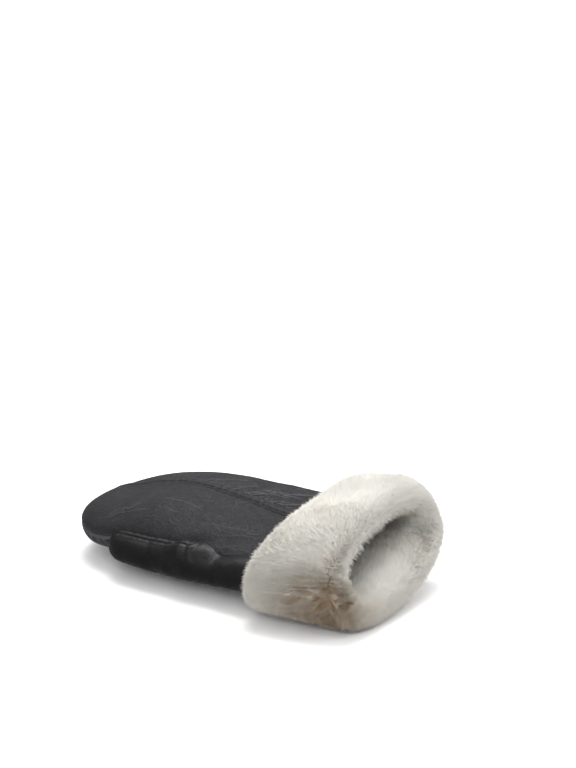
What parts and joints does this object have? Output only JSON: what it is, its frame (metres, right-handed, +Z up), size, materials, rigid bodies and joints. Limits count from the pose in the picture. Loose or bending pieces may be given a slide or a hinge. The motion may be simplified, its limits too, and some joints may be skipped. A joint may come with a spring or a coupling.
{
  "type": "leather mitten",
  "caption": "Right-hand black sheepskin mitten with a deep turned-back cream wool cuff, a welted seam along the back and a thumb, lying on its palm.",
  "frame": {"origin": "on the surface that the mitten lies on, under the middle of the whole mitten", "axes": "+X from the fingertips to the open mouth, +Y from the thumb's side to the little finger's side, +Z up from the surface, towards the back of the hand"},
  "size_m": [0.3014, 0.1738, 0.0827],
  "materials": {
    "black_leather": "satin",
    "cream_wool": "matte"
  },
  "bodies": {
    "root": {"palm_panel": "black_leather", "back_panel_outer": "black_leather", "back_panel_thumb_side": "black_leather", "thumb_panel_inner": "black_leather", "thumb_panel_outer": "black_leather", "wool_lining": "cream_wool", "thumb_lining": "cream_wool", "turned_cuff": "cream_wool"}
  },
  "joints": []
}
